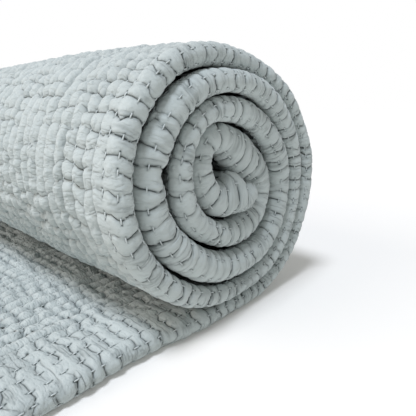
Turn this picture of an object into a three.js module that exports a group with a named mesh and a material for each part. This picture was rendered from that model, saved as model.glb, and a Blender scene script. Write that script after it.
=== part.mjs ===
// A kantha quilt: a thin cotton quilt with rows of running stitch, laid double and rolled up.
// Millimetres, +Z up. The roll lies along Y on the plane z = 0, with x = 0 and y = 0 at its middle.
// The cloth starts as a loose end out towards -X, passes under the roll and winds inwards:
// up on the +X side, over the top, down on the -X side, and so on to its inner end.
// Its two long edges, at -Y and +Y, are soft folds, so the spiral shows at both ends of the roll.
import * as THREE from "three";

// Driving sizes
const THICKNESS = 15; // the cloth laid double
const ROLL_LENGTH = 600; // from edge to edge, along the roll
const LOOSE_LENGTH = 285; // from below the roll's middle to the loose end
const AXIS_HEIGHT = 96.2; // the roll's middle above the surface
const ROW_PITCH = 10.5; // from one row of stitching to the next
const ROW_DEPTH = 1.7; // how far a row pulls the cloth in
const PUFF_DEPTH = 0.9; // how much lower every second puff stands
const PUCKER_DEPTH = 1.3; // how far a pucker draws a folded edge in
const PRESSED = 2; // how far the roll's weight presses its lowest turn down, which gives it a flat spot
const BULGE = 6.6; // how far the slack roll swells between its ends, at its top
const BULGE_RUN = 55; // the stretch over which the swelling starts
const BULGE_END = 560; // from the front end to where the swelling has gone again
const NO_BULGE_BELOW = -0.9; // the height, as a share of the turn's, up to which it doesn't swell
const TUCK = 4; // how far the inner end is tucked in behind its front edge
const TUCK_RUN = 11; // the depth over which it is tucked in
const TUCK_LENGTH = 60; // the stretch of the cloth that is tucked in
const END_THINNING = 0.36; // what is left of the thickness at the cloth's two ends
const END_TAPER = 14; // the stretch over which an end thins
const CORNER = 9; // how far the corners of the cloth are rounded

// Steps of the surface
const TURN_STEP = 15; // degrees from one section of the wound part to the next
const LOOSE_STEPS = 8; // sections of the loose part
const END_STEPS = [0, 2.5, 7, END_TAPER]; // sections of an end, from its tip
const EDGE_STEPS = 5; // points round a folded edge, between the faces
const HIDDEN_SPANS = 5; // spans across a face that the next turn hides
const SHOWS_FROM = -62; // degrees, where the outer face leaves the surface below the roll
const SHOWS_TO = 262; // degrees, where the outer face meets the loose part again

const EDGE_RADIUS = THICKNESS / 2;
const PLACE_STEP = 45; // degrees from one place of the tables below to the next

// Distance of the cloth's middle from the roll's middle, a row for each turn from the outside in:
// below, lower right, right, upper right, above, upper left, left and lower left of it.
const DISTANCES = [
  [89.4, 95.3, 93.2, 89.3, 85.6, 96.0, 96.8, 83.0],
  [75.8, 79.8, 77.8, 72.0, 70.3, 77.7, 75.9, 61.4],
  [56.4, 61.6, 59.4, 51.9, 52.0, 61.8, 54.0, 38.2],
  [33.0, 36.5, 35.0, 23.0, 26.5, 43.8, 29.0, 13.0],
  [10.5, 14.5],
].flat();

// Half the thickness of the cloth at the same places. The quilt is pressed flat under the roll
// and puffs up where it has room.
const HALVES = [
  [6.8, 6.9, 7.3, 7.0, 7.2, 7.4, 7.8, 8.2],
  [5.9, 7.7, 7.3, 9.4, 7.6, 9.0, 10.9, 11.5],
  [10.8, 9.5, 10.0, 9.7, 9.2, 6.3, 9.2, 9.0],
  [11.1, 13.9, 12.9, 16.0, 13.5, 9.2, 10.5, 11.5],
  [10.0, 6.5],
].flat();

// How far the two long edges wander towards the viewer of the -Y end, a row for each place
// along the cloth: turn -1 is the loose end and turn 0 is below the roll's middle.
const EDGES = [
  { turn: -1.0, front: -9, back: 3 },
  { turn: -0.33, front: -9.5, back: -1 },
  { turn: -0.06, front: -1.5, back: -2 },
  { turn: 0.12, front: -0.5, back: 0 },
  { turn: 0.27, front: 2, back: 0 },
  { turn: 0.34, front: -2, back: 1 },
  { turn: 0.46, front: -11.5, back: 2 },
  { turn: 0.65, front: -4, back: 3 },
  { turn: 0.85, front: 0.5, back: 3 },
  { turn: 1.5, front: 0, back: 1 },
  { turn: 1.6, front: 1, back: 0 },
  { turn: 1.73, front: -1, back: -1 },
  { turn: 1.85, front: 4, back: 0 },
  { turn: 2.3, front: -2, back: 2 },
  { turn: 2.8, front: 2, back: -3 },
  { turn: 3.25, front: -5, back: -1 },
  { turn: 4.0, front: 1, back: 2 },
  { turn: 4.5, front: 2, back: 2 },
];

const TOP_DISTANCE = DISTANCES[4];
const LAST_ANGLE = -90 + PLACE_STEP * (DISTANCES.length - 1);

function mix(a, b, t) {
  return a + (b - a) * t;
}

// An even but irregular value from 0 to 1 for a pair of whole numbers.
function uneven(i, j) {
  const s = Math.sin(i * 127.1 + j * 311.7) * 43758.5453;
  return s - Math.floor(s);
}

// A value of one of the tables at an angle in degrees, smooth from place to place.
function valueAt(angle, table) {
  const place = (angle + 90) / PLACE_STEP;
  const i = Math.min(Math.floor(place), table.length - 2);
  const t = place - i;
  const at = (k) => table[Math.max(0, Math.min(table.length - 1, k))];
  const [a, b, c, d] = [at(i - 1), at(i), at(i + 1), at(i + 2)];
  const slopeB = (c - a) / 2;
  const slopeC = (d - b) / 2;
  const u = t * t * (3 - 2 * t);
  return mix(b, c, u) + t * (1 - t) * ((1 - t) * slopeB - t * slopeC);
}

// The middle of the cloth's thickness on the wound part.
function woundPoint(angle) {
  const a = THREE.MathUtils.degToRad(angle);
  const r = valueAt(angle, DISTANCES);
  const pressed = angle < 0 ? -PRESSED * Math.sin(a) : 0;
  const z = AXIS_HEIGHT + r * Math.sin(a) - pressed;
  return new THREE.Vector2(r * Math.cos(a), Math.max(z, valueAt(angle, HALVES)));
}

function edgesAt(turn) {
  const k = EDGES.findIndex((row) => row.turn >= turn);
  if (k <= 0) return k === 0 ? EDGES[0] : EDGES[EDGES.length - 1];
  const [a, b] = [EDGES[k - 1], EDGES[k]];
  const t = (turn - a.turn) / (b.turn - a.turn);
  const u = t * t * (3 - 2 * t);
  return { front: mix(a.front, b.front, u), back: mix(a.back, b.back, u) };
}

// Sections across the cloth, in order from the loose end to the inner end. Each has its middle,
// the direction of its outer face, and whether the quilting of a face shows there.
function layOutSections() {
  const sections = [];
  for (const s of END_STEPS)
    sections.push({ x: -LOOSE_LENGTH + s, fromEnd: s, turn: -1, loose: true });
  const left = LOOSE_LENGTH - END_TAPER;
  for (let i = 1; i < LOOSE_STEPS; i++) {
    const x = -left + (left * i) / LOOSE_STEPS;
    sections.push({ x, fromEnd: Infinity, turn: x / LOOSE_LENGTH, loose: true });
  }
  for (const s of sections) {
    s.angle = -90;
    s.outward = new THREE.Vector2(0, -1);
    s.innerShows = true;
    s.outerShows = false;
  }
  for (let angle = -90; angle <= LAST_ANGLE; angle += TURN_STEP) {
    const middle = woundPoint(angle);
    const ahead = woundPoint(Math.min(angle + 1, LAST_ANGLE));
    const behind = angle > -90 ? woundPoint(angle - 1) : new THREE.Vector2(-1, middle.y);
    const along = ahead.sub(behind).normalize();
    sections.push({
      angle,
      middle,
      outward: new THREE.Vector2(along.y, -along.x),
      turn: (angle + 90) / 360,
      fromEnd: Infinity,
      innerShows: false,
      outerShows: angle >= SHOWS_FROM && angle <= SHOWS_TO,
    });
  }
  addInnerEnd(sections);
  sections.forEach((s, i) => {
    s.index = i;
    const t = Math.min(1, s.fromEnd / END_TAPER);
    const round = Math.sqrt(1 - (1 - t) * (1 - t));
    s.full = valueAt(s.angle, HALVES);
    s.half = s.full * mix(END_THINNING, 1, round);
    s.drawnBack = CORNER * (1 - round);
    if (s.loose) s.middle = new THREE.Vector2(s.x, s.half);
  });
  return sections;
}

// The closely set sections that round off the inner end. The cloth before it is tucked in.
function addInnerEnd(sections) {
  const last = sections[sections.length - 1];
  const along = new THREE.Vector2(-last.outward.y, last.outward.x);
  last.fromEnd = END_TAPER;
  let distance = END_TAPER;
  for (let i = sections.length - 1; distance < TUCK_LENGTH; i--) {
    sections[i].tucked = 1 - distance / TUCK_LENGTH;
    distance += sections[i].middle.distanceTo(sections[i - 1].middle);
  }
  for (const s of END_STEPS.slice(0, -1).reverse())
    sections.push({
      ...last,
      middle: last.middle.clone().addScaledVector(along, END_TAPER - s),
      tucked: 1 - s / TUCK_LENGTH,
      fromEnd: s,
    });
}

// How far the cloth stands out between the roll's ends, where it is slack. None of it below.
function swelling(section, y) {
  const size = valueAt(section.angle, DISTANCES) / TOP_DISTANCE;
  const height = Math.sin(THREE.MathUtils.degToRad(section.angle));
  const upward = Math.max(0, (height - NO_BULGE_BELOW) / (1 - NO_BULGE_BELOW));
  const fromFront = y + ROLL_LENGTH / 2;
  const fromBack = ROLL_LENGTH / 2 - y;
  const start = 1 - Math.exp(-fromFront / BULGE_RUN);
  const end = 1 - Math.exp(-fromBack / BULGE_RUN);
  return BULGE * size * upward * Math.max(0, start * end * (1 - (fromFront / BULGE_END) ** 2));
}

// How far the inner end is tucked in towards the roll's middle.
function tuck(section, y) {
  const fromFront = Math.max(0, y + ROLL_LENGTH / 2);
  return TUCK * (section.tucked ?? 0) * (1 - Math.exp(-fromFront / TUCK_RUN));
}

// How far below the face a point of the quilting lies: deep in a row, shallow on a puff.
function quiltingDepth(section, line) {
  if (line % 2 === 0) return ROW_DEPTH * mix(0.7, 1, uneven(section.index, line));
  const low = (section.index + (line - 1) / 2) % 2;
  return low * PUFF_DEPTH * mix(0.5, 1, uneven(line, section.index));
}

// The points of one section, as a closed loop of four sides.
function sectionSides(section) {
  const edges = edgesAt(section.turn);
  const front = -ROLL_LENGTH / 2 - edges.front + section.drawnBack;
  const back = ROLL_LENGTH / 2 - edges.back - section.drawnBack;
  const pucker = section.index % 2 ? PUCKER_DEPTH * uneven(section.index, 7) : 0;
  const point = (y, height) => {
    const shift = swelling(section, y) - tuck(section, y);
    const p = section.middle.clone().addScaledVector(section.outward, height + shift);
    return new THREE.Vector3(p.x, y, p.y);
  };
  const face = (shows, side) => {
    const rows = Math.round((ROLL_LENGTH - 2 * EDGE_RADIUS) / ROW_PITCH);
    const quilted = shows && section.half === section.full;
    const spans = quilted ? 2 * rows : HIDDEN_SPANS;
    return Array.from({ length: spans + 1 }, (_, k) => {
      const y = mix(front + section.full, back - section.full, k / spans);
      const depth = quilted ? quiltingDepth(section, k) : 0;
      return point(y, side * (section.half - depth));
    });
  };
  const fold = (edge, towards) => {
    const points = [];
    for (let k = 1; k <= EDGE_STEPS; k++) {
      const a = Math.PI * (k / (EDGE_STEPS + 1) - 0.5);
      const reach = (section.full - pucker) * Math.cos(a);
      points.push(point(edge + towards * (section.full - reach), section.half * Math.sin(a)));
    }
    return points;
  };
  return {
    outer: face(section.outerShows, 1),
    back: fold(back, -1).reverse(),
    inner: face(section.innerShows, -1).reverse(),
    front: fold(front, 1),
  };
}

// Triangles between two rows of points that run the same way, whatever their numbers.
function zip(a, b, put) {
  let i = 0;
  let j = 0;
  while (i < a.length - 1 || j < b.length - 1) {
    const nextA = (i + 1) / (a.length - 1);
    const nextB = (j + 1) / (b.length - 1);
    if (j === b.length - 1 || (i < a.length - 1 && nextA <= nextB)) put(a[i], a[++i], b[j]);
    else put(a[i], b[j + 1], b[j++]);
  }
}

function makeQuilt() {
  const positions = [];
  const indices = [];
  const addPoint = (p) => positions.push(p.x, p.y, p.z) / 3 - 1;
  const addTriangle = (a, b, c) => indices.push(a, b, c);
  const loops = layOutSections().map((section) => {
    const sides = sectionSides(section);
    const loop = {};
    for (const side of ["outer", "back", "inner", "front"]) loop[side] = sides[side].map(addPoint);
    // A folded edge runs from the last point of one face to the first of the next.
    loop.back = [loop.outer[loop.outer.length - 1], ...loop.back, loop.inner[0]];
    loop.front = [loop.inner[loop.inner.length - 1], ...loop.front, loop.outer[0]];
    return loop;
  });
  for (let k = 0; k + 1 < loops.length; k++)
    for (const side of ["outer", "back", "inner", "front"])
      zip(loops[k][side], loops[k + 1][side], addTriangle);
  closeEnd(loops[0], addTriangle);
  closeEnd(loops[loops.length - 1], (a, b, c) => addTriangle(a, c, b));
  const geometry = new THREE.BufferGeometry();
  geometry.setAttribute("position", new THREE.Float32BufferAttribute(positions, 3));
  geometry.setIndex(indices);
  geometry.computeVertexNormals();
  return geometry;
}

// Closes an end of the cloth across its four sides.
function closeEnd(loop, put) {
  const ahead = [...loop.outer, ...loop.back.slice(1, -1)];
  const behind = [...loop.front.slice(1, -1).reverse(), ...[...loop.inner].reverse()];
  zip([loop.outer[0], ...behind], ahead, put);
}

const material = new THREE.MeshStandardMaterial({ color: 0xb7c2c6, roughness: 0.95, metalness: 0 });

const quilt = new THREE.Mesh(makeQuilt(), material);
quilt.name = "quilt";

const root = new THREE.Group();
root.add(quilt);

export default root;
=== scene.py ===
# %% [markdown]
# # A kantha quilt, rolled up
#
# The real thing is two faces of washed cotton with a thin filling between them, held together by
# rows of running stitch. It is laid double, so its long edges are soft folds, and then rolled up.
# A sewer works flat and rolls the quilt at the end, and this scene does the same: the cloth and its
# stitches are laid out flat, and the same Geometry Nodes roll both up along one winding line.

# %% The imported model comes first
import math

import bpy
import numpy as np
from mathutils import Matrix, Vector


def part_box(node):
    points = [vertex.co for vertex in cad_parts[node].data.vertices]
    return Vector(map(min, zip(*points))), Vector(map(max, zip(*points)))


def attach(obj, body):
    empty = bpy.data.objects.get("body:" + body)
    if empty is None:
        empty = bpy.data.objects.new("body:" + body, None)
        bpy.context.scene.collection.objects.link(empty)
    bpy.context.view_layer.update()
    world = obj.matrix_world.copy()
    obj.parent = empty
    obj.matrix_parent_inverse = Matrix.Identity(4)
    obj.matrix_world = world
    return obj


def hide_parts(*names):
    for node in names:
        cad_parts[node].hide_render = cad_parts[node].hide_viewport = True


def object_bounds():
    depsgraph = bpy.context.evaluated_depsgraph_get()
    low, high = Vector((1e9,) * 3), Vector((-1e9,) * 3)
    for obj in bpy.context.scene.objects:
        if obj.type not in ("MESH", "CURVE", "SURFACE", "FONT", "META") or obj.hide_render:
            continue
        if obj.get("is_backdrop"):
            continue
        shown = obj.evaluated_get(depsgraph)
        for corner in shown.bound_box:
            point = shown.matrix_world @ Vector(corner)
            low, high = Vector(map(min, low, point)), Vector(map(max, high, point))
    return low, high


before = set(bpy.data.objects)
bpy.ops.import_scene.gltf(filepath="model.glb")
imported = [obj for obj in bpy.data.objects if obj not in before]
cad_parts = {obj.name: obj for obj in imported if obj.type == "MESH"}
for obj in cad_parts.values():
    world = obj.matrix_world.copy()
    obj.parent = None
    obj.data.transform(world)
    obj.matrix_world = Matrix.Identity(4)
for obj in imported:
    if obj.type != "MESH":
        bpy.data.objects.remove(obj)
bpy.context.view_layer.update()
quilt_low, quilt_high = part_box("quilt")
print("solid quilt from", [round(v, 3) for v in quilt_low], "to", [round(v, 3) for v in quilt_high])

# %% [markdown]
# ## Sizes
#
# These are the cloth's own sizes in millimetres, the same ones that its solid was made from. The
# table of turns gives the distance from the roll's middle to the middle of the cloth at eight places
# of each turn, from the outside in, and the next table half the cloth's thickness there.

# %% Sizes of the rolled cloth
MM = 0.001
THICKNESS = 15.0
ROLL_LENGTH = 600.0
LOOSE_LENGTH = 285.0
AXIS_HEIGHT = 96.2
PRESSED = 2.0
END_THINNING = 0.36
END_TAPER = 14.0
CORNER = 9.0
FOLD_RADIUS = THICKNESS / 2
LOOSE_HALF = 6.8
BULGE = 6.6
BULGE_RUN = 55.0
BULGE_END = 560.0
NO_BULGE_BELOW = -0.9
PLACE_STEP = 45.0
TUCK, TUCK_RUN, TUCK_LENGTH = 4.0, 11.0, 60.0
NICK_ANGLE, NICK_DEPTH, NICK_WIDTH = 526.0, 3.5, 6.0
PLUMP_END, PLUMP_START, PLUMP_FULL = 10.0, 52.0, 34.0
FILL_ANGLE, FILL_DEPTH, FILL_WIDTH = 1145.0, 2.5, 16.0
TURNS = [
    # below, lower right, right, upper right, above, upper left, left, lower left
    (89.4, 95.3, 93.2, 89.3, 85.6, 96.0, 96.8, 83.0),
    (75.8, 79.8, 77.8, 72.0, 70.3, 77.7, 75.9, 61.4),
    (56.4, 61.6, 59.4, 51.9, 52.0, 61.8, 54.0, 38.2),
    (33.0, 36.5, 35.0, 23.0, 26.5, 43.8, 29.0, 13.0),
    (10.5, 14.5),
]
EDGES = [
    # turn, front, back
    (-1.0, -9.0, 3.0),
    (-0.33, -9.5, -1.0),
    (-0.06, -1.5, -2.0),
    (0.12, -0.5, 0.0),
    (0.27, 2.0, 0.0),
    (0.34, -2.0, 1.0),
    (0.46, -11.5, 2.0),
    (0.65, -4.0, 3.0),
    (0.85, 0.5, 3.0),
    (1.5, 0.0, 1.0),
    (1.6, 1.0, 0.0),
    (1.73, -1.0, -1.0),
    (1.85, 4.0, 0.0),
    (2.3, -2.0, 2.0),
    (2.8, 2.0, -3.0),
    (3.25, -5.0, -1.0),
    (4.0, 1.0, 2.0),
    (4.5, 2.0, 2.0),
]
HALF_THICKNESS = [
    (6.8, 6.9, 7.3, 7.0, 7.2, 7.4, 7.8, 8.2),
    (5.9, 7.7, 7.3, 9.4, 7.6, 9.0, 10.9, 11.5),
    (10.8, 9.5, 10.0, 9.7, 9.2, 6.3, 9.2, 9.0),
    (11.1, 13.9, 12.9, 16.0, 13.5, 9.2, 10.5, 11.5),
    (10.0, 6.5),
]
distances = np.array([d for row in TURNS for d in row])
halves = np.array([h for row in HALF_THICKNESS for h in row])
TOP_DISTANCE = TURNS[0][4]
LAST_ANGLE = -90.0 + PLACE_STEP * (len(distances) - 1)
LAST_TURN = (LAST_ANGLE + 90) / 360
LOOSE_POINTS = 160
print("turns of cloth:", LAST_TURN)

# %% [markdown]
# ## The winding line
#
# The line starts at the loose end, runs flat under the roll and winds inwards. Between two places
# of the table the distance from the middle follows a smooth cubic, so eight places a turn are
# enough for a roll that sags a little, as a real one does.


# %% The line that the middle of the cloth follows
def between_places(angle, values):
    """A smooth value at angles in degrees, from -90 below the roll's middle."""
    place = (np.asarray(angle) + 90) / PLACE_STEP
    last = len(values) - 1
    i = np.clip(np.floor(place).astype(int), 0, last - 1)
    t = place - i
    a, b, c, d = (values[np.clip(i + k, 0, last)] for k in (-1, 0, 1, 2))
    eased = t * t * (3 - 2 * t)
    bend = (1 - t) * (c - a) / 2 - t * (d - b) / 2
    return b + (c - b) * eased + t * (1 - t) * bend


def distance_at(angle):
    return between_places(angle, distances)


def wound_point(angle):
    a = np.radians(angle)
    r = distance_at(angle)
    pressed = np.where(np.asarray(angle) < 0, -PRESSED * np.sin(a), 0)
    z = np.maximum(AXIS_HEIGHT + r * np.sin(a) - pressed, between_places(angle, halves))
    return r * np.cos(a), z


ANGLE_STEP = 0.5
angles = np.arange(-90, LAST_ANGLE + ANGLE_STEP / 2, ANGLE_STEP)
wound_x, wound_z = wound_point(angles)
loose_x = np.linspace(-LOOSE_LENGTH, 0, LOOSE_POINTS)[:-1]
line_x = np.concatenate([loose_x, wound_x])
line_z = np.concatenate([np.full(len(loose_x), LOOSE_HALF), wound_z])
# The inner end runs on straight for the stretch over which the cloth thins.
end_step = np.array([line_x[-1] - line_x[-3], line_z[-1] - line_z[-3]])
end_step /= np.linalg.norm(end_step)
line_x = np.append(line_x, line_x[-1] + end_step[0] * END_TAPER)
line_z = np.append(line_z, line_z[-1] + end_step[1] * END_TAPER)
line_turn = np.concatenate([loose_x / LOOSE_LENGTH, (angles + 90) / 360, [LAST_TURN]])
line_u = np.concatenate([[0], np.cumsum(np.hypot(np.diff(line_x), np.diff(line_z)))])
CLOTH_LENGTH = float(line_u[-1])
print(f"cloth laid double: {ROLL_LENGTH:.0f} x {CLOTH_LENGTH:.0f} mm")


def turn_at(u):
    return np.interp(u, line_u, line_turn)


def u_at_angle(angle):
    return float(np.interp((angle + 90) / 360, line_turn, line_u))


# %% [markdown]
# ## Unevenness
#
# Handwork is never regular. A smooth noise over a seeded grid of random numbers bends, deepens and
# wrinkles the quilting, and a second seeded generator shifts the stitches, so each run makes the
# same quilt.

# %% A smooth seeded noise
NOISE_SIDE = 256
noise_table = np.random.default_rng(7).random((NOISE_SIDE, NOISE_SIDE)) * 2 - 1


def noise(u, c, size_u, size_c, seed=0):
    """Smooth values from -1 to 1 over the cloth, with bumps about size_u by size_c."""
    x = np.asarray(u) / size_u + 17.3 * seed
    y = np.asarray(c) / size_c + 31.7 * seed
    xi, yi = np.floor(x).astype(int), np.floor(y).astype(int)
    fx, fy = x - xi, y - yi
    fx, fy = fx * fx * (3 - 2 * fx), fy * fy * (3 - 2 * fy)

    def at(i, j):
        return noise_table[(xi + i) % NOISE_SIDE, (yi + j) % NOISE_SIDE]

    low = at(0, 0) * (1 - fx) + at(1, 0) * fx
    high = at(0, 1) * (1 - fx) + at(1, 1) * fx
    return low * (1 - fy) + high * fy


# %% [markdown]
# ## Rows of running stitch
#
# A place on the cloth has two coordinates: u runs along the cloth from its loose end, and c runs
# round it, from the tip of the front fold over the outer face, with the inner face at negative c.
# The rows run along u. Each row has its own stitch length and start, as no sewer keeps in step.

# %% Where the stitches go
HALF_ROUND = (ROLL_LENGTH - 2 * FOLD_RADIUS) + math.pi * FOLD_RADIUS
WANTED_PITCH = 10.5
ROWS_A_SIDE = round(HALF_ROUND / WANTED_PITCH)
ROW_PITCH = HALF_ROUND / ROWS_A_SIDE
STITCH_PITCH = 9.8
STITCH_LENGTH = 4.0
ROW_WANDER = 1.0
SPARE_STITCHES = 12
IN_STEP_ROWS, SLIP_IN_STEP, SLIP = 3, 0.07, 0.22
STITCH_SHIFT, CREASE_BOW, CHANCE = 1.0, 1.6, 0.4
rng = np.random.default_rng(21)
row_numbers = np.arange(-ROWS_A_SIDE, ROWS_A_SIDE)
stitches_a_row = int(CLOTH_LENGTH / STITCH_PITCH) + SPARE_STITCHES
table_size = (len(row_numbers), stitches_a_row)
# Round the front fold the rows keep nearly in step, so that the creases there run straight on.
row_slip = np.where(np.abs(row_numbers + 0.5) < IN_STEP_ROWS, SLIP_IN_STEP, SLIP)
row_start = np.cumsum(rng.normal(0, 1, len(row_numbers)) * row_slip) * STITCH_PITCH
row_start = (row_start % STITCH_PITCH) - 2.5 * STITCH_PITCH
stitch_u = row_start[:, None] + STITCH_PITCH * np.arange(stitches_a_row)[None, :]
stitch_u = stitch_u + rng.normal(0, STITCH_SHIFT, table_size)
crease_bow = rng.normal(0, CREASE_BOW, table_size)
chance = rng.uniform(-CHANCE, CHANCE, table_size)
print(len(row_numbers), "rows of", stitches_a_row, "stitches,", round(ROW_PITCH, 2), "mm apart")

# Strong creases run on over a few rows, and weak ones lie between them.
places = np.repeat(row_numbers[:, None], stitches_a_row, 1)
crease_strength = np.clip(0.72 + 0.5 * noise(stitch_u, places, 17, 2.6, 4) + chance, 0.05, 1.2)


def wander(u, c):
    """How far a row strays to the side at a place."""
    return ROW_WANDER * noise(u, c, 38, 30, 3)


def ramp(value, start, end):
    return np.clip((value - start) / (end - start), 0, 1)


# %% [markdown]
# ## Puffs and creases
#
# Each stitch pulls the filling down, and creases run from a stitch to the nearest stitch of the
# next row. What is left between them stands up as a puff. A seam or crease is a broad dip with a
# narrow groove at its bottom. Near the folded edges the cloth is drawn round the corner, so there
# the creases run on across the rows and the puffs join up to long tubes, with the stitches sitting
# in the creases between them.

# %% The height of the quilting
ROW_DEPTH, CREASE_DEPTH, FOLD_CREASE = 3.7, 3.5, 2.1
GROOVE, DIP = 0.75, 2.5
WRINKLE, FOLD_WRINKLE, EDGE_FOLD = 0.9, 0.5, 1.3
TUBES_ON_ROLL, TUBES_ON_LOOSE_END = 20.0, 58.0
SHARPNESS = 4.0
# How tightly rows hold the cloth between stitches, at a stitch and along the folds.
ROW_HOLD, STITCH_HOLD, FOLD_HOLD = 0.8, 0.25, 0.05
STITCH_PULL = 2.4
UNEVEN_HOLD = 0.4
LOOSE_ROWS_LESS, LOOSE_CREASES_MORE = 0.3, 0.25
# How much of a row's or a crease's dip is its narrow groove.
ROW_GROOVE, CREASE_GROOVE, TUBE_GROOVE = 0.2, 0.4, 0.3
CREASE_SLACK = 0.25
WEAKEST_FOLD_CREASE, STRONGEST_FOLD_CREASE = 0.15, 0.8
LINE_THINNESS = 5
FAR_AWAY = 99.0


def valley(distance, groove_share):
    """1 at the bottom of a seam, falling to 0 a few millimetres away from it."""
    far = np.abs(distance)
    return groove_share * np.exp(-far / GROOVE) + (1 - groove_share) * np.exp(-((far / DIP) ** 2))


def wrinkle(u, c, size_u, size_c, seed):
    """1 on thin lines that wander over the cloth, falling to 0 beside them."""
    bent_u = u + 3 * noise(u, c, 9, 9, seed + 1)
    return np.exp(-LINE_THINNESS * np.abs(noise(bent_u, c, size_u, size_c, seed)))


def nearest_in_row(row, u):
    """The distance from u to the nearest stitch of each place's row, along the row."""
    base = np.round((u - row_start[row]) / STITCH_PITCH).astype(int)
    base = np.clip(base, 1, stitches_a_row - 2)
    off = np.stack([u - stitch_u[row, base + k] for k in (-1, 0, 1)])
    return off[np.abs(off).argmin(0), np.arange(len(u))], base


def partner_of(row, j):
    """The place of the next row's stitch that lies nearest to stitch j of this row."""
    place = stitch_u[row, j]
    off, _ = nearest_in_row((row + 1) % len(row_numbers), place)
    return place - off


def tube_share(u, c):
    """1 at the folded edges, where the puffs join up to tubes, falling to 0 inwards."""
    from_fold = np.minimum(np.abs(c), HALF_ROUND - np.abs(c))
    reach = np.where(turn_at(u) < 0.02, TUBES_ON_LOOSE_END, TUBES_ON_ROLL)
    reach = reach * (1 + 0.3 * noise(u, c, 25, 60, 14))
    return np.exp(-((from_fold / reach) ** 4))


def quilting(u, c):
    """How far the face lies below the puffs' tops, in millimetres, and what lies near each place:
    the nearest row, crease and stitch, and how tightly the row and the crease are drawn in."""
    u, c = np.asarray(u, float), np.asarray(c, float)
    place = (c + wander(u, c)) / ROW_PITCH - 0.5
    row = (np.floor(place).astype(int) + ROWS_A_SIDE) % len(row_numbers)
    across = place - np.floor(place)
    tube = tube_share(u, c)
    on_loose_end = ramp(-turn_at(u), 0, 0.05)
    total = np.zeros(len(u))
    near = {"tube": tube, "to_row": np.where(across < 0.5, across, across - 1) * ROW_PITCH}
    for side in (0, 1):
        off, _ = nearest_in_row((row + side) % len(row_numbers), u)
        at_stitch = np.exp(-((off / STITCH_PULL) ** 2))
        held = ROW_HOLD + STITCH_HOLD * at_stitch + UNEVEN_HOLD * noise(u, c, 13, 9, 5)
        held = held * (1 - tube) * (1 - LOOSE_ROWS_LESS * on_loose_end)
        held = held + (FOLD_HOLD + STITCH_HOLD * at_stitch) * tube
        distance = (across if side == 0 else 1 - across) * ROW_PITCH
        total += (ROW_DEPTH * held * valley(distance, ROW_GROOVE)) ** SHARPNESS
        nearer = (across < 0.5) == (side == 0)
        near["row_held"] = np.where(nearer, held, near.get("row_held", 0))
        near["to_stitch"] = np.where(nearer, np.abs(off), near.get("to_stitch", 0))
    _, base = nearest_in_row(row, u)
    eased = across * across * (3 - 2 * across)
    middle = 1 - np.abs(2 * across - 1)
    to_crease, crease_held = np.full(len(u), FAR_AWAY), np.zeros(len(u))
    for k in (-2, -1, 0, 1, 2):
        j = np.clip(base + k, 0, stitches_a_row - 1)
        start, end = stitch_u[row, j], partner_of(row, j)
        line = start + (end - start) * eased + crease_bow[row, j] * middle
        strength = crease_strength[row, j]
        loose = strength * (1 - CREASE_SLACK * middle) * (1 - tube)
        loose = loose * (1 + LOOSE_CREASES_MORE * on_loose_end)
        drawn = np.minimum(WEAKEST_FOLD_CREASE + strength**2, STRONGEST_FOLD_CREASE) * tube
        depth = CREASE_DEPTH * loose + FOLD_CREASE * drawn
        off = u - line
        total += (depth * valley(off, CREASE_GROOVE + TUBE_GROOVE * tube)) ** SHARPNESS
        nearest = np.abs(off) < np.abs(to_crease)
        to_crease = np.where(nearest, off, to_crease)
        crease_held = np.where(nearest, loose + drawn, crease_held)
    near["to_crease"], near["crease_held"] = to_crease, crease_held
    depth = total ** (1 / SHARPNESS)
    near["seam"] = np.clip(depth / ROW_DEPTH, 0, 1)
    folded = WRINKLE * wrinkle(u, c, 6.5, 12, 21) * (1 - tube)
    folded += FOLD_WRINKLE * wrinkle(u, c, 5, 50, 24) * tube
    lift = 0.8 * noise(u, c, 10, 8, 8) * (1 - tube) + 0.5 * noise(u, c, 23, 17, 10) * (1 - 0.5 * tube)
    lift += 0.7 * noise(u, c, 52, 38, 9) + 0.3
    by_front_edge = on_loose_end * ramp(np.abs(c), 75, 35)
    lift += EDGE_FOLD * noise(u, c, 7, 34, 27) * by_front_edge
    return depth + folded - lift, near


# %% [markdown]
# ## The cloth laid flat
#
# The flat cloth is a closed skin of four bands: the front fold, the outer face, the back fold and
# the inner face. The folds show all along, so they are fine all along. A face is fine only where it
# shows, and needs few points where the next turn hides it, so each face is a row of grids.

# %% Places on the cloth
QUARTER = math.pi / 2 * FOLD_RADIUS
FOLD_BAND = 17.0
SHOWN_STEP, HIDDEN_STEP = 1.75, 6.0


def steps(start, end, size):
    """Evenly spaced places, the last one left out."""
    return np.linspace(start, end, max(1, round(abs(end - start) / size)) + 1)[:-1]


FOLD_PLACES = np.concatenate([steps(0, QUARTER, 1.05), steps(QUARTER, FOLD_BAND, 1.4)])
FOLD_PLACES = np.append(FOLD_PLACES, FOLD_BAND)
BACK_PLACES = np.concatenate([steps(0, FOLD_BAND, 2.2), [FOLD_BAND]])
AROUND_FOLD = np.concatenate([-FOLD_PLACES[:0:-1], FOLD_PLACES])
AROUND_BACK = np.concatenate([-BACK_PLACES[:0:-1], BACK_PLACES])
FACE_START, FACE_END = FOLD_BAND + 1.4, HALF_ROUND - FOLD_BAND - 1.6
SHOWN = np.concatenate(
    [steps(FACE_START, 100, 1.6), steps(100, 220, 2.5), steps(220, FACE_END, 4.2), [FACE_END]]
)
CORE_END = 112.0
CORE = np.concatenate([steps(FACE_START, CORE_END, 1.8), steps(CORE_END, FACE_END, 60), [FACE_END]])
HIDDEN = np.append(steps(FACE_START, FACE_END, 45), FACE_END)

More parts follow.
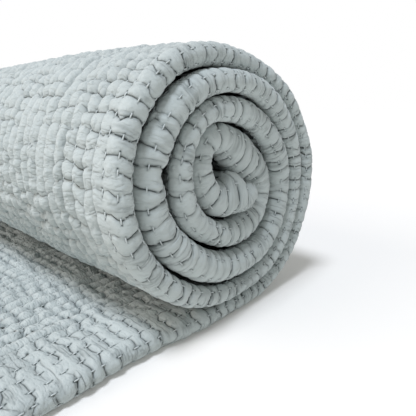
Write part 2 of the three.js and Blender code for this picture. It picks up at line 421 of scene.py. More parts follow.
# Where the cloth lifts off the surface, lies in the roll again, and shows at the roll's middle.
LIFTS_OFF, LIES_AGAIN, CORE_SHOWS = u_at_angle(-72), u_at_angle(268), u_at_angle(845)
UNDER_ROLL = u_at_angle(-91)
OUTER_FACE = [
    # from, to, step along, places across
    (0.0, LIFTS_OFF, HIDDEN_STEP, HIDDEN),
    (LIFTS_OFF, LIES_AGAIN, SHOWN_STEP, SHOWN),
    (LIES_AGAIN, CLOTH_LENGTH, HIDDEN_STEP, HIDDEN),
]
INNER_FACE = [
    (0.0, UNDER_ROLL, SHOWN_STEP, SHOWN),
    (UNDER_ROLL, CORE_SHOWS, HIDDEN_STEP, HIDDEN),
    (CORE_SHOWS, CLOTH_LENGTH, SHOWN_STEP, CORE),
]
FRONT_FOLD = [(0.0, CLOTH_LENGTH, 1.3, AROUND_FOLD)]
BACK_FOLD = [(0.0, CLOTH_LENGTH, 2.6, AROUND_BACK)]
for name, grids in (("outer face", OUTER_FACE), ("inner face", INNER_FACE)):
    print(name, [(round(start), round(stop), len(places)) for start, stop, _, places in grids])

# %% [markdown]
# A fold of the cloth is half round, and the quilting pushes each point in along the skin's own
# direction. The edges wander a little, as the turns of a hand-rolled quilt never line up, and the
# two ends of the cloth thin out and draw back at their corners.


# %% Where the quilting shows
# Each pair is where quilting starts to show and where it shows in full, in degrees or millimetres.
FOLD_SHOWS, FLAP_SHOWS = (26, 16), (20, 34)
FLANK_STARTS, FLANK_ENDS = (-68, -50), (266, 244)
CORE_STARTS, CORE_REACH = (850, 870), (107, 95)


def shown_weight(u, c):
    """1 where quilting can be seen or felt, falling to 0 on faces that lie against the next turn."""
    turn = turn_at(u)
    angle = turn * 360 - 90
    from_fold = np.minimum(np.abs(c), HALF_ROUND - np.abs(c))
    near_edge = ramp(from_fold, *FOLD_SHOWS)
    flank = (c > 0) * ramp(angle, *FLANK_STARTS) * ramp(angle, *FLANK_ENDS)
    flap = ((c < 0) & (turn <= 0)) * ramp(-turn * LOOSE_LENGTH, *FLAP_SHOWS)
    core = (c < 0) * ramp(angle, *CORE_STARTS) * ramp(from_fold, *CORE_REACH)
    return np.maximum.reduce([near_edge, flank, flap, core])


# %% From places on the cloth to flat points
EDGE_RIPPLE = 0.7
NICK_HEIGHT, NICK_SHARE = 24.0, 0.6
FLAT_BELOW_TURN, FACING_DOWN = 0.09, -0.93


def end_rounding(u):
    from_end = np.minimum(u, CLOTH_LENGTH - u)
    t = np.clip(from_end / END_TAPER, 0, 1)
    return np.sqrt(np.clip(1 - (1 - t) ** 2, 0, 1))


def edge_wander(u, column):
    table = np.array(EDGES)
    turn = turn_at(u)
    k = np.clip(np.searchsorted(table[:, 0], turn) - 1, 0, len(table) - 2)
    t = np.clip((turn - table[k, 0]) / (table[k + 1, 0] - table[k, 0]), 0, 1)
    eased = t * t * (3 - 2 * t)
    ripple = EDGE_RIPPLE * noise(u, np.zeros_like(u), 45, 1, 12 + column)
    return table[k, column] * (1 - eased) + table[k + 1, column] * eased + ripple


def skin_direction(c):
    """The y and z of the direction in which the skin of the flat cloth faces at a place round it."""
    side, far = np.where(c >= 0, 1, -1), np.abs(c)
    from_front, from_back = far / FOLD_RADIUS, (HALF_ROUND - far) / FOLD_RADIUS
    bend = np.minimum(np.minimum(from_front, from_back), math.pi / 2)
    return np.where(from_front < from_back, -1, 1) * np.cos(bend), -side * np.sin(bend)


def bulge(u, y):
    """How far the roll stands out between its ends, where the cloth is slack. None of it below."""
    angle = np.maximum(turn_at(u), 0) * 360 - 90
    size = distance_at(angle) / TOP_DISTANCE
    upward = np.maximum((np.sin(np.radians(angle)) - NO_BULGE_BELOW) / (1 - NO_BULGE_BELOW), 0)
    from_front, from_back = y + ROLL_LENGTH / 2, ROLL_LENGTH / 2 - y
    swell = (1 - np.exp(-from_front / BULGE_RUN)) * (1 - np.exp(-from_back / BULGE_RUN))
    return BULGE * size * upward * np.maximum(swell * (1 - (from_front / BULGE_END) ** 2), 0)


def tuck(u, y):
    """How far the inner end is tucked in behind its front edge."""
    from_front = np.maximum(y + ROLL_LENGTH / 2, 0)
    near_end = ramp(u, CLOTH_LENGTH - TUCK_LENGTH, CLOTH_LENGTH)
    return TUCK * near_end * (1 - np.exp(-from_front / TUCK_RUN))


def nick(u, c):
    """How far the front edge is pinched in at one place of its second turn."""
    along = (u - u_at_angle(NICK_ANGLE)) / NICK_WIDTH
    return NICK_DEPTH * np.exp(-(along**2) - (np.abs(c) / NICK_HEIGHT) ** 4)


def plump(u, facing_z):
    """How far the cloth swells where the inner turns leave it room: inwards, and then outwards."""
    from_end = CLOTH_LENGTH - u
    inwards = PLUMP_END * ramp(from_end, PLUMP_START, PLUMP_FULL) * ramp(from_end, 0, PLUMP_FULL)
    along = (u - u_at_angle(FILL_ANGLE)) / FILL_WIDTH
    outwards = FILL_DEPTH * np.exp(-(along**2))
    return np.maximum(facing_z, 0) * inwards + np.minimum(facing_z, 0) * outwards


def flat_points(u, c):
    """Points of the flat cloth, x along it, y across it and z through it, and what lies near them."""
    round_end = end_rounding(u)
    full = between_places(np.maximum(turn_at(u), 0) * 360 - 90, halves)
    half = full * (END_THINNING + (1 - END_THINNING) * round_end)
    drawn = CORNER * (1 - round_end)
    front = -ROLL_LENGTH / 2 - edge_wander(u, 1) + drawn
    back = ROLL_LENGTH / 2 - edge_wander(u, 2) - drawn
    facing_y, facing_z = skin_direction(c)
    share = ramp(np.abs(c), QUARTER, HALF_ROUND - QUARTER)
    y = front + full + (back - front - 2 * full) * share + full * facing_y
    z = half * facing_z + plump(u, facing_z)
    depth, near = quilting(u, c)
    weight = shown_weight(u, c)
    depth = weight * depth
    # Nothing stands out below, and the loose end lies flat on the surface.
    underneath = (c > 0) & (turn_at(u) < FLAT_BELOW_TURN)
    depth = np.where(underneath, np.maximum(depth, 0), depth)
    on_surface = underneath & (turn_at(u) <= 0) & (facing_z < FACING_DOWN)
    depth = np.where(on_surface, 0, depth)
    y, z = y - facing_y * depth, z - facing_z * depth
    # The loose end thins from above, so that it still lies on the surface.
    z = z - np.where(turn_at(u) < 0, full - half, 0) - bulge(u, y) + tuck(u, y)
    drawn_in = nick(u, c)
    y, z = y + NICK_SHARE * drawn_in, z - np.where(facing_z > 0, drawn_in, 0) * facing_z
    for name in ("seam", "row_held", "crease_held"):
        near[name] = near[name] * weight
    return np.stack([u, y, z], 1), near


# %% Skin of the flat cloth
class Skin:
    """Collects places on the cloth and the faces between them."""

    def __init__(self):
        self.u, self.c, self.steps, self.faces, self.count = [], [], [], [], 0

    def grid(self, u, c, step, around):
        numbers = self.count + np.arange(len(u) * len(c)).reshape(len(u), len(c))
        self.count += numbers.size
        self.u.append(np.repeat(u, len(c)))
        self.c.append(np.tile(c, len(u)))
        sizes = np.stack([np.full(numbers.size, step), np.tile(around, len(u))], 1)
        self.steps.append(sizes)
        a, b = numbers[:-1], numbers[1:]
        quads = np.stack([a[:, :-1], a[:, 1:], b[:, 1:], b[:, :-1]], 2).reshape(-1, 4)
        self.faces += quads.tolist()
        return numbers

    def zip(self, low, high, low_keys, high_keys, turned=False):
        """Triangles between two lines of points, whatever their numbers."""
        i, j = 0, 0
        while i < len(low) - 1 or j < len(high) - 1:
            if j == len(high) - 1 or (i < len(low) - 1 and low_keys[i + 1] <= high_keys[j + 1]):
                face, i = [low[i], low[i + 1], high[j]], i + 1
            else:
                face, j = [low[i], high[j + 1], high[j]], j + 1
            self.faces.append([int(v) for v in (face[::-1] if turned else face)])

    def band(self, grids, place):
        """One band of the skin. Place turns its places across into places round the cloth."""
        made, before = [], None
        for n, (start, stop, step, across) in enumerate(grids):
            u = np.linspace(start, stop, round((stop - start) / step) + 1)
            u = u if n == len(grids) - 1 else u[:-1]
            c = place(across)
            numbers = self.grid(u, c, step, np.gradient(across))
            if before is not None:
                self.zip(before[0], numbers[0], before[1], c)
            before = (numbers[-1], c)
            made.append((u, numbers))
        return {
            "u": np.concatenate([u for u, _ in made]),
            "first": np.concatenate([n[:, 0] for _, n in made]),
            "last": np.concatenate([n[:, -1] for _, n in made]),
            "start": made[0][1][0],
            "end": made[-1][1][-1],
        }


SNAP_REACH = 0.47


def snap(u, c, step):
    """Moves places within half a step of a row or a crease onto it, so that it is sharp."""
    _, near = quilting(u, c)
    to_row, to_crease = near["to_row"], near["to_crease"]
    free = (end_rounding(u) >= 1) & (np.abs(c) > 0) & (np.abs(c) < HALF_ROUND)
    near_row = free & (np.abs(to_row) < SNAP_REACH * step[:, 1])
    near_crease = free & (np.abs(to_crease) < SNAP_REACH * step[:, 0])
    return np.where(near_crease, u - to_crease, u), np.where(near_row, c - to_row, c)


def past_back_fold(across):
    c = HALF_ROUND + across
    return np.where(c > HALF_ROUND, c - 2 * HALF_ROUND, c)


def flat_cloth():
    skin = Skin()
    bands = [
        skin.band(FRONT_FOLD, lambda across: across),
        skin.band(OUTER_FACE, lambda across: across),
        skin.band(BACK_FOLD, past_back_fold),
        skin.band(INNER_FACE, lambda across: -across[::-1]),
    ]
    for low, high in zip(bands, bands[1:] + bands[:1]):
        skin.zip(low["last"], high["first"], low["u"], high["u"], turned=True)
    skin.faces.append([int(v) for v in np.concatenate([b["start"] for b in bands])[::-1]])
    skin.faces.append([int(v) for v in np.concatenate([b["end"] for b in bands])])
    u, c = snap(np.concatenate(skin.u), np.concatenate(skin.c), np.concatenate(skin.steps))
    return u, c, skin.faces


cloth_u, cloth_c, cloth_faces = flat_cloth()
cloth_points, near_cloth = flat_points(cloth_u, cloth_c)
print(len(cloth_u), "points and", len(cloth_faces), "faces in the flat cloth")

# %% [markdown]
# ## From numbers to a mesh
#
# Blender takes whole arrays at once through foreach_set, which is far quicker than adding points
# one at a time. The cloth also gets a UV map that holds its own coordinates in metres, so that its
# weave can follow the cloth round the roll, and attributes that say how near the rows, creases and
# stitches are and how deep a point lies between the puffs.


# %% Mesh from arrays
def new_mesh(name, points, polygons):
    mesh = bpy.data.meshes.new(name)
    sizes = np.array([len(p) for p in polygons])
    corners = np.fromiter((v for p in polygons for v in p), int, sizes.sum())
    mesh.vertices.add(len(points))
    mesh.vertices.foreach_set("co", np.asarray(points, np.float32).ravel())
    mesh.loops.add(len(corners))
    mesh.loops.foreach_set("vertex_index", corners.astype(np.int32))
    mesh.polygons.add(len(sizes))
    mesh.polygons.foreach_set("loop_start", (np.cumsum(sizes) - sizes).astype(np.int32))
    mesh.update(calc_edges=True)
    mesh.validate()
    return mesh, corners, sizes


def add_object(name, mesh):
    thing = bpy.data.objects.new(name, mesh)
    bpy.context.scene.collection.objects.link(thing)
    return thing


def store_numbers(mesh, name, values):
    attribute = mesh.attributes.new(name, "FLOAT", "POINT")
    attribute.data.foreach_set("value", np.asarray(values, np.float32))


def triangle_count(mesh):
    return len(mesh.loops) - 2 * len(mesh.polygons)


def add_cloth_uv(mesh, u, c, corners, sizes):
    """UVs in metres of cloth. A face that spans the back fold takes one side's numbers for it."""
    around = c[corners]
    starts = np.cumsum(sizes) - sizes
    lowest = np.minimum.reduceat(around, starts)
    crossing = np.repeat(lowest < -HALF_ROUND / 2, sizes) & (around > HALF_ROUND / 2)
    around = np.where(crossing, around - 2 * HALF_ROUND, around)
    uv = np.stack([u[corners] * MM, around * MM], 1)
    mesh.uv_layers.new(name="cloth").uv.foreach_set("vector", uv.astype(np.float32).ravel())


FARTHEST_NOTED = 6
flat_mesh, corners, sizes = new_mesh("flat_cloth", cloth_points * MM, cloth_faces)
add_cloth_uv(flat_mesh, cloth_u, cloth_c, corners, sizes)
for name in ("to_row", "to_crease", "to_stitch"):
    near_cloth[name] = np.minimum(np.abs(near_cloth[name]), FARTHEST_NOTED)
for name, values in near_cloth.items():
    store_numbers(flat_mesh, name, values)
store_numbers(flat_mesh, "shown", shown_weight(cloth_u, cloth_c))
flat_cloth_object = add_object("flat_cloth", flat_mesh)
print("flat cloth:", len(flat_mesh.vertices), "points,", len(flat_mesh.polygons), "faces")

# %% [markdown]
# ## Expressions for node trees
#
# A formula is easier to read as a line of Python than as a web of nodes. This class wraps a socket,
# so that `1 - mask * 0.3` adds the Math nodes it needs. It serves both kinds of trees, shading
# and geometry.


# %% Sockets with operators
class Wire:
    """A number in a node tree. Operators on it add Math nodes."""

    def __init__(self, sheet, socket):
        self.sheet, self.socket = sheet, socket

    def _math(self, operation, *values):
        return self.sheet.node("ShaderNodeMath", {"operation": operation}, dict(enumerate(values)))

    def __add__(self, other):
        return self._math("ADD", self, other)

    def __sub__(self, other):
        return self._math("SUBTRACT", self, other)

    def __rsub__(self, other):
        return self._math("SUBTRACT", other, self)

    def __mul__(self, other):
        return self._math("MULTIPLY", self, other)

    def __pow__(self, other):
        return self._math("POWER", self, other)

    __radd__, __rmul__ = __add__, __mul__

    def wave(self):
        return self._math("SINE", self)

    def exponential(self):
        return self._math("EXPONENT", self)

    def size(self):
        return self._math("ABSOLUTE", self)

    def between(self, low, high):
        return self._math("MAXIMUM", self._math("MINIMUM", self, high), low)


class NodeSheet:
    """A node tree that is filled by calls, one node each."""

    def __init__(self, tree):
        self.tree = tree

    def node(self, kind, settings=None, inputs=None, output=0):
        made = self.tree.nodes.new(kind)
        for name, value in (settings or {}).items():
            setattr(made, name, value)
        for key, value in (inputs or {}).items():
            socket = made.inputs[key]
            if isinstance(value, Wire):
                self.tree.links.new(value.socket, socket)
            else:
                socket.default_value = value
        return Wire(self, made.outputs[output]) if made.outputs else None

    def other(self, wire, output):
        """Another output of the node that a wire comes from."""
        return Wire(self, wire.socket.node.outputs[output])


# %% [markdown]
# ## Rolling up
#
# The tree below does what the owner of the quilt does: it takes something that lies flat and bends
# it along the winding line. Each point's x says how far along the line it goes, its y stays, and
# its z is how far it stands off the line, at right angles to it. The cloth and its stitches are
# bent by the same nodes, so a stitch always lands in its seam.

# %% The winding line as a curve
curve = bpy.data.curves.new("winding_line", "CURVE")
curve.dimensions = "3D"
spline = curve.splines.new("POLY")
spline.points.add(len(line_x) - 1)
line_points = np.stack([line_x * MM, np.zeros(len(line_x)), line_z * MM, np.ones(len(line_x))], 1)
spline.points.foreach_set("co", line_points.astype(np.float32).ravel())
winding_line = add_object("winding_line", curve)
print("winding line:", len(line_x), "points,", round(CLOTH_LENGTH), "mm")


# %% The tree that rolls things up
def add_socket(tree, name, kind, output=False):
    way = "OUTPUT" if output else "INPUT"
    tree.interface.new_socket(name=name, in_out=way, socket_type=kind)


def start_tree(name, **sockets):
    tree = bpy.data.node_groups.new(name, "GeometryNodeTree")
    add_socket(tree, "Geometry", "NodeSocketGeometry")
    for label, kind in sockets.items():
        add_socket(tree, label, kind)
    add_socket(tree, "Geometry", "NodeSocketGeometry", output=True)
    sheet = NodeSheet(tree)
    return sheet, sheet.node("NodeGroupInput")


def end_tree(sheet, geometry, material):
    real = sheet.node("GeometryNodeRealizeInstances", {}, {"Geometry": geometry})
    finished = sheet.node("GeometryNodeSetMaterial", {}, {"Geometry": real, "Material": material})
    sheet.node("NodeGroupOutput", {}, {0: finished})
    return sheet.tree


def bend_along(sheet, geometry, line):
    """Moves each point from the flat to its place along the line."""
    place = sheet.node("GeometryNodeInputPosition")
    along = sheet.node("ShaderNodeSeparateXYZ", {}, {0: place})
    across, through = sheet.other(along, "Y"), sheet.other(along, "Z")
    curve_shape = sheet.node("GeometryNodeObjectInfo", {}, {"Object": line}, output="Geometry")
    settings = {"mode": "LENGTH", "use_all_curves": True}
    wanted = {"Curves": curve_shape, "Length": along}
    on_line = sheet.node("GeometryNodeSampleCurve", settings, wanted, output="Position")
    tangent = sheet.node("ShaderNodeSeparateXYZ", {}, {0: sheet.other(on_line, "Tangent")})
    up_x, up_z = 0 - sheet.other(tangent, "Z"), tangent
    offset = sheet.node(
        "ShaderNodeCombineXYZ", {}, {"X": up_x * through, "Y": across, "Z": up_z * through}
    )
    moved = sheet.node("ShaderNodeVectorMath", {"operation": "ADD"}, {0: on_line, 1: offset})
    return sheet.node("GeometryNodeSetPosition", {}, {"Geometry": geometry, "Position": moved})


def roll_up_tree():
    sheet, start = start_tree("roll_up", Line="NodeSocketObject", Cloth="NodeSocketMaterial")
    rolled = bend_along(sheet, start, sheet.other(start, "Line"))
    return end_tree(sheet, rolled, sheet.other(start, "Cloth"))


def run_tree(thing, tree, name, **inputs):
    """Runs a tree on an object and returns its result as a plain mesh object."""
    modifier = thing.modifiers.new(tree.name, "NODES")
    modifier.node_group = tree
    for socket in tree.interface.items_tree:
        if socket.in_out == "INPUT" and socket.name in inputs:
            modifier[socket.identifier] = inputs[socket.name]
    result = plain_mesh(thing, name)
    bpy.data.objects.remove(thing)
    return result


def plain_mesh(thing, name):
    graph = bpy.context.evaluated_depsgraph_get()
    mesh = bpy.data.meshes.new_from_object(
        thing.evaluated_get(graph), preserve_all_data_layers=True, depsgraph=graph
    )
    mesh.name = name
    return add_object(name, mesh)


# %% [markdown]
# ## Cotton
#
# Washed cotton is matt and nearly even in colour. What gives it life is small: soft faded clouds,
# fine dry wrinkles, and the weave. Painted shade darkens the seams between the puffs, the rows, the
# creases, the ends and sides of the stitches and the pressed folds. The weave follows the cloth's own
# UV map; the clouds can use the object's coordinates.


# %% Materials of the cloth and the thread
def start_material(name):
    material = bpy.data.materials.new(name)
    material.use_nodes = True
    material.node_tree.nodes.clear()
    return material, NodeSheet(material.node_tree)


def end_material(material, sheet, colour, bump, **constants):
    shader = sheet.node("ShaderNodeBsdfPrincipled", {}, {"Base Color": colour, "Normal": bump})
    for name, value in constants.items():
        shader.socket.node.inputs[name.replace("_", " ")].default_value = value
    sheet.node("ShaderNodeOutputMaterial", {}, {"Surface": shader})
    return material


def noise_wire(sheet, coordinates, scale, detail=2.0, roughness=0.5):
    wanted = {"Vector": coordinates, "Scale": scale, "Detail": detail, "Roughness": roughness}
    return sheet.node("ShaderNodeTexNoise", {}, wanted)


def mixed(sheet, factor, dark, light):
    """A colour between two others."""
    settings = {"data_type": "RGBA", "blend_type": "MIX", "clamp_factor": True}
    return sheet.node("ShaderNodeMix", settings, {0: factor, 6: dark, 7: light}, output=2)


FADED = (0.53, 0.59, 0.58, 1)
DEEPER = (0.43, 0.485, 0.475, 1)
# The dark colour that the cotton is mixed towards as painted shade in seams, creases and at stitches.
PAINTED_SEAM_SHADE = (0.06, 0.08, 0.08, 1)
THREAD_PITCH = 0.00055
# How fast the painted shade, and the bump's cuts along rows and creases, fade with millimetres from a
# row, a crease, a stitch's end and its sides.
ROW_FADE, CREASE_FADE, WIDE_CREASE_FADE, HOLE_FADE, SIDE_FADE = -1.6, -3.0, -0.8, -3.0, -1.3
# Heights of the fine relief in metres.
CRUMPLE, CRUMPLE_ON_TUBE, DRAWN, WEAVE = 0.0018, -0.0008, 0.0004, 0.00003
ROW_CUT, CREASE_CUT, CUT_ON_TUBE, PRESSED_CUT = 0.0006, 0.0011, 0.0005, 0.0006


def under_stitch(near):
    """1 along the length of a stitch, falling to 0 past its ends."""
    past = near("to_stitch") * 1.5 - STITCH_LENGTH * 0.75 - 0.5
    return 1 - past.between(0, 1)


def cotton():
    material, sheet = start_material("washed_cotton")

    def near(name):
        wanted = {"attribute_name": name}
        return sheet.node("ShaderNodeAttribute", wanted, {}, output="Fac")

    uv = sheet.node("ShaderNodeUVMap", {"uv_map": "cloth"})
    place = sheet.node("ShaderNodeTexCoord", {}, {}, output="Object")
    tube, to_row, to_crease = near("tube"), near("to_row"), near("to_crease")
    tone = mixed(sheet, noise_wire(sheet, place, 14.0, 4.0, 0.55), DEEPER, FADED)
    row_line = (to_row * ROW_FADE).exponential() * near("row_held")
    crease_line = (to_crease * (tube * 0.6 + CREASE_FADE)).exponential() * near("crease_held")
    crease_shade = (to_crease * WIDE_CREASE_FADE).exponential() * near("crease_held")
    from_end = near("to_stitch") - STITCH_LENGTH / 2
    # Painted shade: dark spots at each stitch's ends and dark lines along its sides.
    painted_hole_shade = ((from_end * from_end + to_row * to_row) * HOLE_FADE).exponential()
    beside = (to_row * to_row * SIDE_FADE).exponential() * under_stitch(near)

    def stretched(share):
        """Coordinates that draw a pattern out across the rows."""
        wanted = {0: uv, 1: (1, share, 1)}
        return sheet.node("ShaderNodeVectorMath", {"operation": "MULTIPLY"}, wanted)

    def wrinkles(share, scale):
        """0 on thin lines that wander over the cloth, rising beside them."""
        return (noise_wire(sheet, stretched(share), scale) * 2 - 1).size()

    crumpled, drawn, long_folds = wrinkles(0.6, 200.0), wrinkles(0.11, 230.0), wrinkles(0.14, 110.0)
    patches = (noise_wire(sheet, uv, 70.0) * 5 - 2).between(0, 1)
    pressed = (long_folds * -20).exponential() * patches * tube
    # Painted shade: the colour darkens towards the dark seam colour with the depth between the puffs,
    # along rows and creases, in a wide band round creases, at stitch ends, beside stitches and in
    # pressed folds.
    painted_crease_shade = crease_line * (patches * 0.45 + 0.55)
    painted_shade = near("seam") ** 2 * 0.45 + row_line * 0.25 + painted_crease_shade * (tube * 1.0 + 0.3)
    painted_shade = painted_shade + crease_shade * tube * 0.12
    painted_shade = painted_shade + (painted_hole_shade * 0.8 + beside * 0.35) * (tube * 0.6 + 0.25) + pressed * 0.4
    tone = mixed(sheet, painted_shade, tone, PAINTED_SEAM_SHADE)
    lines = sheet.node("ShaderNodeSeparateXYZ", {}, {0: uv})
    turns = 2 * math.pi / THREAD_PITCH
    weave = (lines * turns).wave() * (sheet.other(lines, "Y") * turns).wave()
    height = crumpled * (tube * CRUMPLE_ON_TUBE + CRUMPLE) + drawn * DRAWN + weave * WEAVE
    height = height - row_line * ROW_CUT - crease_line * (tube * CUT_ON_TUBE + CREASE_CUT)
    height = height - pressed * PRESSED_CUT
    bump = sheet.node("ShaderNodeBump", {}, {"Strength": 1.0, "Distance": 1.0, "Height": height})
    return end_material(material, sheet, tone, bump, Roughness=0.92, Sheen_Weight=0.12)


def thread():
    material, sheet = start_material("sewing_thread")
    place = sheet.node("ShaderNodeTexCoord", {}, {}, output="Object")
    light, dark = (0.60, 0.65, 0.65, 1), (0.5, 0.56, 0.555, 1)
    tone = mixed(sheet, noise_wire(sheet, place, 40.0), dark, light)
    relief = {"Strength": 0.4, "Distance": 0.0002, "Height": noise_wire(sheet, place, 2500.0)}
    bump = sheet.node("ShaderNodeBump", {}, relief)
    return end_material(material, sheet, tone, bump, Roughness=0.8)


cotton_material, thread_material = cotton(), thread()
print("materials:", cotton_material.name, thread_material.name)

# %% [markdown]
# ## The quilt
#
# Where the quilting shows, the rolled mesh is much denser than it needs to be on the round tops of
# the puffs, so a Decimate modifier takes away the points there that say least and keeps the sharp
# creases.

# %% Roll up the cloth
CLOTH_FACES = 196000
DENSE_WEIGHT = 0.3
roll_up = roll_up_tree()
quilt = run_tree(flat_cloth_object, roll_up, "quilt_cloth", Line=winding_line, Cloth=cotton_material)
triangles = triangle_count(quilt.data)
shown = np.empty(len(quilt.data.vertices), np.float32)
quilt.data.attributes["shown"].data.foreach_get("value", shown)
group = quilt.vertex_groups.new(name="shown")
group.add(np.flatnonzero(shown > DENSE_WEIGHT).tolist(), 1.0, "REPLACE")
decimate = quilt.modifiers.new("fewer faces", "DECIMATE")
decimate.ratio = CLOTH_FACES / triangles
decimate.vertex_group = group.name
rolled, quilt = quilt, plain_mesh(quilt, "quilt_cloth")
bpy.data.objects.remove(rolled)
quilt.name = "quilt_cloth"
quilt.data.shade_smooth()
print("quilt:", triangles, "triangles, then", triangle_count(quilt.data))

# %% [markdown]
# ## Stitches
#
# Each stitch shows as a short dash of thread that dives into the cloth at both ends. A tiny mesh of
# thirty triangles does for one, and Geometry Nodes puts a copy on each needle point, turned to the
# cloth's face, before the whole lot is rolled up with the cloth.

# %% One stitch
STITCH_WIDTH = 0.85
STITCH_LIFT = 0.25
STITCH_SUNK = 0.3
STITCH_SIDES = 5


def one_stitch():
    """A dash along x that stands on z = 0 and dips below it at its ends, 1 long and 1 wide."""
    # Place along, width and height of each ring.
    rings = [(-0.36, 0.8, -0.12), (0.0, 1.0, 0.2), (0.36, 0.8, -0.12)]
    points = [(-0.5, 0, -0.55)]
    for x, width, height in rings:
        for k in range(STITCH_SIDES):
            a = 2 * math.pi * (k + 0.5) / STITCH_SIDES
            points.append((x, math.sin(a) * width / 2, height + math.cos(a) * width / 2))
    points.append((0.5, 0, -0.55))
    faces = []
    for k in range(STITCH_SIDES):
        after = (k + 1) % STITCH_SIDES
        faces.append((0, 1 + k, 1 + after))
        for ring in range(len(rings) - 1):
            a, b = 1 + ring * STITCH_SIDES, 1 + (ring + 1) * STITCH_SIDES
            faces.append((a + k, b + k, b + after, a + after))
        last = 1 + (len(rings) - 1) * STITCH_SIDES
        faces.append((last + k, len(points) - 1, last + after))
    mesh, _, _ = new_mesh("one_stitch", points, faces)
    mesh.shade_smooth()
    return add_object("one_stitch", mesh)


stitch_shape = one_stitch()

# %% Where the needle went
END_MARGIN = 4.0
SEWN_WEIGHT = 0.6
NEEDLE_REACH = 0.4 * STITCH_LENGTH
SMALLEST, LARGEST = 0.82, 1.15


def needle_points():
    rows = np.repeat(np.arange(len(row_numbers)), stitches_a_row)
    u = stitch_u.ravel()
    level = (row_numbers[rows] + 0.5) * ROW_PITCH
    c = level - wander(u, level)
    seen = (u > END_MARGIN) & (u < CLOTH_LENGTH - END_MARGIN) & (shown_weight(u, c) > SEWN_WEIGHT)
    # Nothing is sewn where the cloth lies on the surface.
    underneath = (c > QUARTER * 0.9) & (turn_at(u) < 0.05)
    seen &= ~underneath
    u, c = u[seen], c[seen]
    low = flat_points(u, c)[0]
    before = flat_points(u - NEEDLE_REACH, c)[0]
    after = flat_points(u + NEEDLE_REACH, c)[0]
    facing_y, facing_z = skin_direction(c)
    middle = (low + before + after) / 3
    lift = STITCH_LIFT - STITCH_SUNK * (1 - tube_share(u, c))
    middle[:, 1:] += np.stack([lift * facing_y, lift * facing_z], 1)
    return middle, np.arctan2(-facing_y, facing_z), rng.uniform(SMALLEST, LARGEST, len(u))


needle, needle_tilt, needle_size = needle_points()
needle_mesh = bpy.data.meshes.new("needle_points")
needle_mesh.vertices.add(len(needle))
needle_mesh.vertices.foreach_set("co", (needle * MM).astype(np.float32).ravel())
store_numbers(needle_mesh, "tilt", needle_tilt)
store_numbers(needle_mesh, "size", needle_size)
needle_object = add_object("needle_points", needle_mesh)
print(len(needle), "stitches show")


# %% The tree that sews and rolls up
def sewing_tree():
    sheet, start = start_tree(
        "sewing",
        Stitch="NodeSocketObject",
        Length="NodeSocketFloat",
        Width="NodeSocketFloat",
        Line="NodeSocketObject",
        Thread="NodeSocketMaterial",
    )

    def named(name):
        wanted = {"Name": name}
        return sheet.node("GeometryNodeInputNamedAttribute", {"data_type": "FLOAT"}, wanted)

    shape = sheet.node(
        "GeometryNodeObjectInfo", {}, {"Object": sheet.other(start, "Stitch")}, output="Geometry"
    )
    turn = sheet.node("ShaderNodeCombineXYZ", {}, {"X": named("tilt")})
    length = sheet.other(start, "Length") * named("size")
    width = sheet.other(start, "Width")
    size = sheet.node("ShaderNodeCombineXYZ", {}, {"X": length, "Y": width, "Z": width})
    points = sheet.node("GeometryNodeMeshToPoints", {}, {"Mesh": start})
    wanted = {"Points": points, "Instance": shape, "Rotation": turn, "Scale": size}
    copies = sheet.node("GeometryNodeInstanceOnPoints", {}, wanted)
    real = sheet.node("GeometryNodeRealizeInstances", {}, {"Geometry": copies})
    rolled = bend_along(sheet, real, sheet.other(start, "Line"))
    return end_tree(sheet, rolled, sheet.other(start, "Thread"))


stitches = run_tree(
    needle_object,
    sewing_tree(),
    "running_stitches",
    Stitch=stitch_shape,
    Length=STITCH_LENGTH * MM,
    Width=STITCH_WIDTH * MM,
    Line=winding_line,
    Thread=thread_material,
)
print("stitches:", triangle_count(stitches.data), "triangles")
for helper in (stitch_shape, winding_line):
    bpy.data.objects.remove(helper)

# %% [markdown]
# ## What stands for what
#
# The cloth takes the place of the plain solid, and both pieces belong to the one body. The sheet
# was cut as the cloth laid double: its width is the roll's length.

# %% Tie the pieces to the model
for piece in (quilt, stitches):
    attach(piece, "root")
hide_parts("quilt")
print("pieces:", quilt.name, stitches.name)

# %% [markdown]
# ## Floor, light and camera
#
# The quilt lies on a white floor in soft light from the upper left, which leaves a faint shadow on
# its right. The floor is pale and glows a little, so that it comes out white away from the shadow.


# %% The floor
def studio_floor():
    side = 40.0  # metres from the middle to an edge
    points = [(-side, -side, 0), (side, -side, 0), (side, side, 0), (-side, side, 0)]
    mesh, _, _ = new_mesh("floor", points, [(0, 1, 2, 3)])
    floor = add_object("floor", mesh)
    material, sheet = start_material("white_floor")
    place = sheet.node("ShaderNodeTexCoord", {}, {}, output="Object")
    grain = noise_wire(sheet, place, 6.0)
    bump = sheet.node("ShaderNodeBump", {}, {"Strength": 0.02, "Distance": 0.001, "Height": grain})
    white = (0.80, 0.795, 0.76, 1)
    glow = {"Emission_Color": (1, 1, 1, 1), "Emission_Strength": 0.08}
    end_material(material, sheet, white, bump, Roughness=0.9, **glow)
    mesh.materials.append(material)
    floor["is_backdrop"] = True


studio_floor()


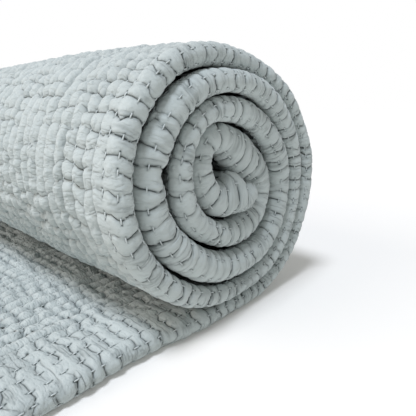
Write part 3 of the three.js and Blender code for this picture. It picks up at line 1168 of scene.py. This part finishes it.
# %% The light
def sun_lamp(name, heading, height, softness, strength, colour):
    """A lamp that lights the whole floor evenly. Its angles are in degrees: heading from +Y
    towards +X, height above the floor, and softness the width of the lamp in the sky."""
    lamp = bpy.data.lights.new(name, "SUN")
    lamp.angle, lamp.energy, lamp.color = math.radians(softness), strength, colour
    holder = add_object(name, lamp)
    holder.rotation_euler = (math.radians(height - 90), 0, math.radians(-heading))
    holder.location = (0, 0, 2)


def studio_world(light, seen):
    """Soft light from all round. What the camera sees of it is white paper."""
    world = bpy.data.worlds.new("studio")
    world.use_nodes = True
    world.node_tree.nodes.clear()
    sheet = NodeSheet(world.node_tree)
    seen_directly = sheet.node("ShaderNodeLightPath", {}, {}, output="Is Camera Ray")
    around = sheet.node("ShaderNodeBackground", {}, {"Color": light, "Strength": 1.0})
    paper = sheet.node("ShaderNodeBackground", {}, {"Color": seen, "Strength": 1.0})
    both = sheet.node("ShaderNodeMixShader", {}, {0: seen_directly, 1: around, 2: paper})
    sheet.node("ShaderNodeOutputWorld", {}, {"Surface": both})
    bpy.context.scene.world = world


COOL, WARM = (0.865, 0.9, 1.0), (1.0, 0.87, 0.80)
SOFT_GREY, PAPER_WHITE = (0.41, 0.41, 0.41, 1), (1, 1, 1, 1)
sun_lamp("key_light", heading=-92, height=69, softness=16, strength=2.5, colour=COOL)
sun_lamp("left_light", heading=-62, height=25, softness=40, strength=1.22, colour=WARM)
studio_world(SOFT_GREY, PAPER_WHITE)
bpy.context.scene.view_settings.view_transform = "Standard"

# %% The camera
CAMERA_PLACE = (-0.2088, -0.4533, 0.1498)
CAMERA_TURN = 48.0
CAMERA_DIP = 14.7
CAMERA_LENS, SENSOR_WIDTH = 32.7, 36.0
camera = bpy.data.cameras.new("camera")
camera.lens, camera.sensor_width = CAMERA_LENS, SENSOR_WIDTH
camera.clip_start = 0.01
camera_holder = add_object("camera", camera)
camera_holder.location = CAMERA_PLACE
camera_holder.rotation_euler = (math.radians(90 - CAMERA_DIP), 0, math.radians(-CAMERA_TURN))
bpy.context.scene.camera = camera_holder

# %% [markdown]
# ## Size of the quilt
#
# The finished quilt should stay inside the solid model's box, give or take a few millimetres of
# puffs. Both boxes are printed, so that they can be compared.

# %% Write the finished quilt's box
visual_box = [list(map(float, corner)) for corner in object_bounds()]
for name, low, high in zip("xyz", *visual_box):
    print(name, round(low, 4), "to", round(high, 4))
